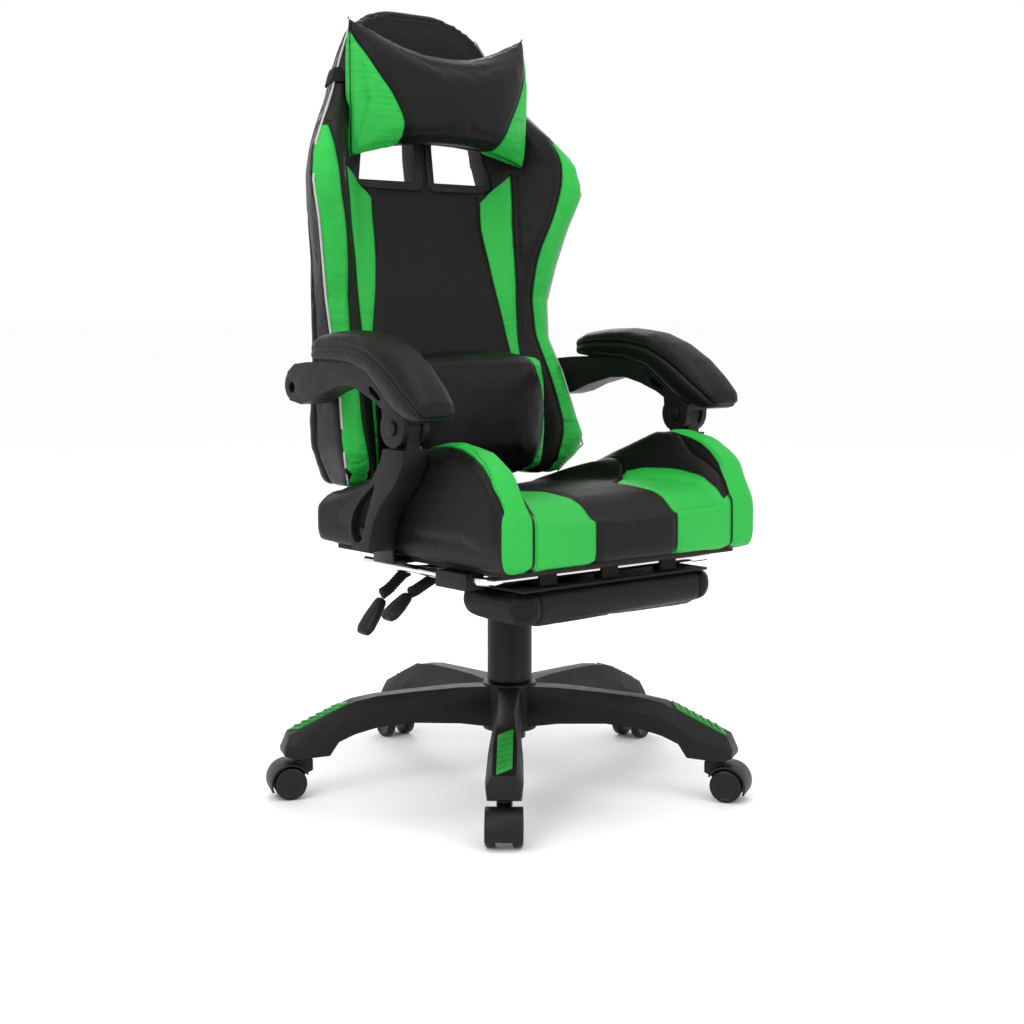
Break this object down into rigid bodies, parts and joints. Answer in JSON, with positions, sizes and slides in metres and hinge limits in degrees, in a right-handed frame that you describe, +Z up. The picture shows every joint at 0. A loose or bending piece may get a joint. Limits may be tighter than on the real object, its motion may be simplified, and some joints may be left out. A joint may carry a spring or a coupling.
{
  "type": "gaming chair",
  "caption": "Racing-style swivel chair: star base on castors, gas lift, bucket seat with pull-out flip footrest, reclining winged back with pillows, and armrests that follow the back.",
  "frame": {"origin": "middle of the footprint, on the floor; the gas lift stands 8.1 mm to -X and 20.9 mm to -Y of it", "axes": "+Z up, the sitter faces -Y, the levers are on the sitter's right at -X"},
  "size_m": [0.741, 0.7248, 1.2288],
  "materials": {
    "black_leather": "soft satin black PU leather, fine grain",
    "green_leather": "satin bright green PU leather, fine grain",
    "black_nylon": "moulded glass-filled nylon, fine texture",
    "castor_nylon": "smooth hard nylon",
    "green_plastic": "moulded, ribbed",
    "black_steel": "black powder coat",
    "chrome": "polished chrome plate",
    "rubber": "ribbed soft rubber",
    "plywood": "raw plywood",
    "webbing": "woven elastic",
    "light_guide": "frosted translucent light guide, unlit"
  },
  "bodies": {
    "base": {"star_base": "black_nylon", "leg_insert_1": "green_plastic", "leg_insert_2": "green_plastic", "leg_insert_3": "green_plastic", "leg_insert_4": "green_plastic", "leg_insert_5": "green_plastic", "gas_lift_tube": "black_steel", "lift_cover_lower": "black_nylon"},
    "lift": {"gas_lift_rod": "black_steel"},
    "cover": {"lift_cover_middle": "black_nylon"},
    "seat": {"lift_cover_upper": "black_nylon", "tilt_mechanism": "black_steel", "seat_board": "plywood", "seat_cushion": "black_leather", "footrest_guide_right": "black_nylon", "footrest_guide_left": "black_nylon", "arm_bracket_right": "black_steel", "arm_bracket_left": "black_steel", "hinge_bolt_right": "chrome", "hinge_bolt_left": "chrome"},
    "back": {"back_cushion": "black_leather", "back_shell": "black_leather", "back_frame": "black_steel", "light_strip": "light_guide", "hole_trim_right": "black_nylon", "hole_trim_left": "black_nylon", "head_pillow": "green_leather", "lumbar_pillow": "black_leather", "head_strap": "webbing", "hinge_arm_right": "black_steel", "hinge_arm_left": "black_steel"},
    "height_lever": {"height_lever_rod": "black_steel", "height_lever_bellows": "rubber", "height_lever_paddle": "black_nylon"},
    "recline_lever": {"recline_lever_rod": "black_steel", "recline_lever_bellows": "rubber", "recline_lever_paddle": "black_nylon"},
    "footrest_rail": {"footrest_frame": "chrome"},
    "footrest": {"footrest_board": "plywood", "footrest_pad": "black_leather"},
    "arm_post_right": {"arm_upright_right": "black_nylon", "arm_pivot_bolt_right": "black_nylon"},
    "armrest_right": {"arm_arch_right": "black_nylon", "arm_pad_right": "black_leather"},
    "arm_post_left": {"arm_upright_left": "black_nylon", "arm_pivot_bolt_left": "black_nylon"},
    "armrest_left": {"arm_arch_left": "black_nylon", "arm_pad_left": "black_leather"},
    "castor_1": {"castor_yoke_1": "black_nylon"},
    "castor_wheels_1": {"castor_wheels_1": "castor_nylon"},
    "castor_2": {"castor_yoke_2": "black_nylon"},
    "castor_wheels_2": {"castor_wheels_2": "castor_nylon"},
    "castor_3": {"castor_yoke_3": "black_nylon"},
    "castor_wheels_3": {"castor_wheels_3": "castor_nylon"},
    "castor_4": {"castor_yoke_4": "black_nylon"},
    "castor_wheels_4": {"castor_wheels_4": "castor_nylon"},
    "castor_5": {"castor_yoke_5": "black_nylon"},
    "castor_wheels_5": {"castor_wheels_5": "castor_nylon"}
  },
  "joints": [
    {"name": "lift_slide", "type": "slide", "parent": "base", "child": "lift", "axis": [0, 0, 1], "range_m": [0, 0.08]},
    {"name": "cover_slide", "type": "slide", "parent": "base", "child": "cover", "axis": [0, 0, 1], "range_m": [0, 0.04]},
    {"name": "seat_swivel", "type": "hinge", "parent": "lift", "child": "seat", "pos_m": [-0.0081, -0.02092, 0.157], "axis": [0, 0, 1], "continuous": true},
    {"name": "backrest_recline", "type": "hinge", "parent": "seat", "child": "back", "pos_m": [-0.0081, 0.15908, 0.42], "axis": [-1, 0, 0], "range_deg": [0, 45]},
    {"name": "arm_post_right_tilt", "type": "hinge", "parent": "seat", "child": "arm_post_right", "pos_m": [-0.2876, -0.03692, 0.418], "axis": [-1, 0, 0], "range_deg": [0, 47.5]},
    {"name": "armrest_right_tilt", "type": "hinge", "parent": "arm_post_right", "child": "armrest_right", "pos_m": [-0.2876, -0.12592, 0.574], "axis": [-1, 0, 0], "range_deg": [-32.5, 0]},
    {"name": "arm_post_left_tilt", "type": "hinge", "parent": "seat", "child": "arm_post_left", "pos_m": [0.2714, -0.03692, 0.418], "axis": [-1, 0, 0], "range_deg": [0, 47.5]},
    {"name": "armrest_left_tilt", "type": "hinge", "parent": "arm_post_left", "child": "armrest_left", "pos_m": [0.2714, -0.12592, 0.574], "axis": [-1, 0, 0], "range_deg": [-32.5, 0]},
    {"name": "height_lever_lift", "type": "hinge", "parent": "seat", "child": "height_lever", "pos_m": [-0.0781, -0.01492, 0.35], "axis": [0, 1, 0], "range_deg": [0, 4.5], "stiffness_Nm_per_rad": 8, "springref_deg": -4.58},
    {"name": "recline_lever_lift", "type": "hinge", "parent": "seat", "child": "recline_lever", "pos_m": [-0.0781, -0.06292, 0.35], "axis": [0, 1, 0], "range_deg": [0, 4.5], "stiffness_Nm_per_rad": 8, "springref_deg": -4.58},
    {"name": "footrest_slide", "type": "slide", "parent": "seat", "child": "footrest_rail", "axis": [0, -1, 0], "range_m": [0, 0.18]},
    {"name": "footrest_flip", "type": "hinge", "parent": "footrest_rail", "child": "footrest", "pos_m": [-0.0081, -0.24292, 0.362], "axis": [-1, 0, 0], "range_deg": [0, 180]},
    {"name": "castor_1_swivel", "type": "hinge", "parent": "base", "child": "castor_1", "pos_m": [-0.22329, -0.26846, 0], "axis": [0, 0, 1], "continuous": true},
    {"name": "castor_1_roll", "type": "hinge", "parent": "castor_1", "child": "castor_wheels_1", "pos_m": [-0.23904, -0.28658, 0.025], "axis": [0.7547, -0.6561, 0], "continuous": true},
    {"name": "castor_2_swivel", "type": "hinge", "parent": "base", "child": "castor_2", "pos_m": [0.16083, -0.30207, 0], "axis": [0, 0, 1], "continuous": true},
    {"name": "castor_2_roll", "type": "hinge", "parent": "castor_2", "child": "castor_wheels_2", "pos_m": [0.17319, -0.32264, 0.025], "axis": [0.8572, 0.515, 0], "continuous": true},
    {"name": "castor_3_swivel", "type": "hinge", "parent": "base", "child": "castor_3", "pos_m": [0.31149, 0.05287, 0], "axis": [0, 0, 1], "continuous": true},
    {"name": "castor_3_roll", "type": "hinge", "parent": "castor_3", "child": "castor_wheels_3", "pos_m": [0.33487, 0.05827, 0.025], "axis": [-0.225, 0.9744, 0], "continuous": true},
    {"name": "castor_4_swivel", "type": "hinge", "parent": "base", "child": "castor_4", "pos_m": [0.02048, 0.30584, 0], "axis": [0, 0, 1], "continuous": true},
    {"name": "castor_4_roll", "type": "hinge", "parent": "castor_4", "child": "castor_wheels_4", "pos_m": [0.02258, 0.32974, 0.025], "axis": [-0.9962, 0.0872, 0], "continuous": true},
    {"name": "castor_5_swivel", "type": "hinge", "parent": "base", "child": "castor_5", "pos_m": [-0.31003, 0.10724, 0], "axis": [0, 0, 1], "continuous": true},
    {"name": "castor_5_roll", "type": "hinge", "parent": "castor_5", "child": "castor_wheels_5", "pos_m": [-0.33212, 0.11662, 0.025], "axis": [-0.3907, -0.9205, 0], "continuous": true}
  ],
  "couplings": [
    {"joint": "cover_slide", "follows": "lift_slide", "ratio": 0.5},
    {"joint": "footrest_flip", "follows": "footrest_slide", "rad_per_m": 17.4},
    {"joint": "arm_post_right_tilt", "follows": "backrest_recline", "ratio": 1.05},
    {"joint": "armrest_right_tilt", "follows": "backrest_recline", "ratio": -0.711},
    {"joint": "arm_post_left_tilt", "follows": "backrest_recline", "ratio": 1.05},
    {"joint": "armrest_left_tilt", "follows": "backrest_recline", "ratio": -0.711}
  ]
}
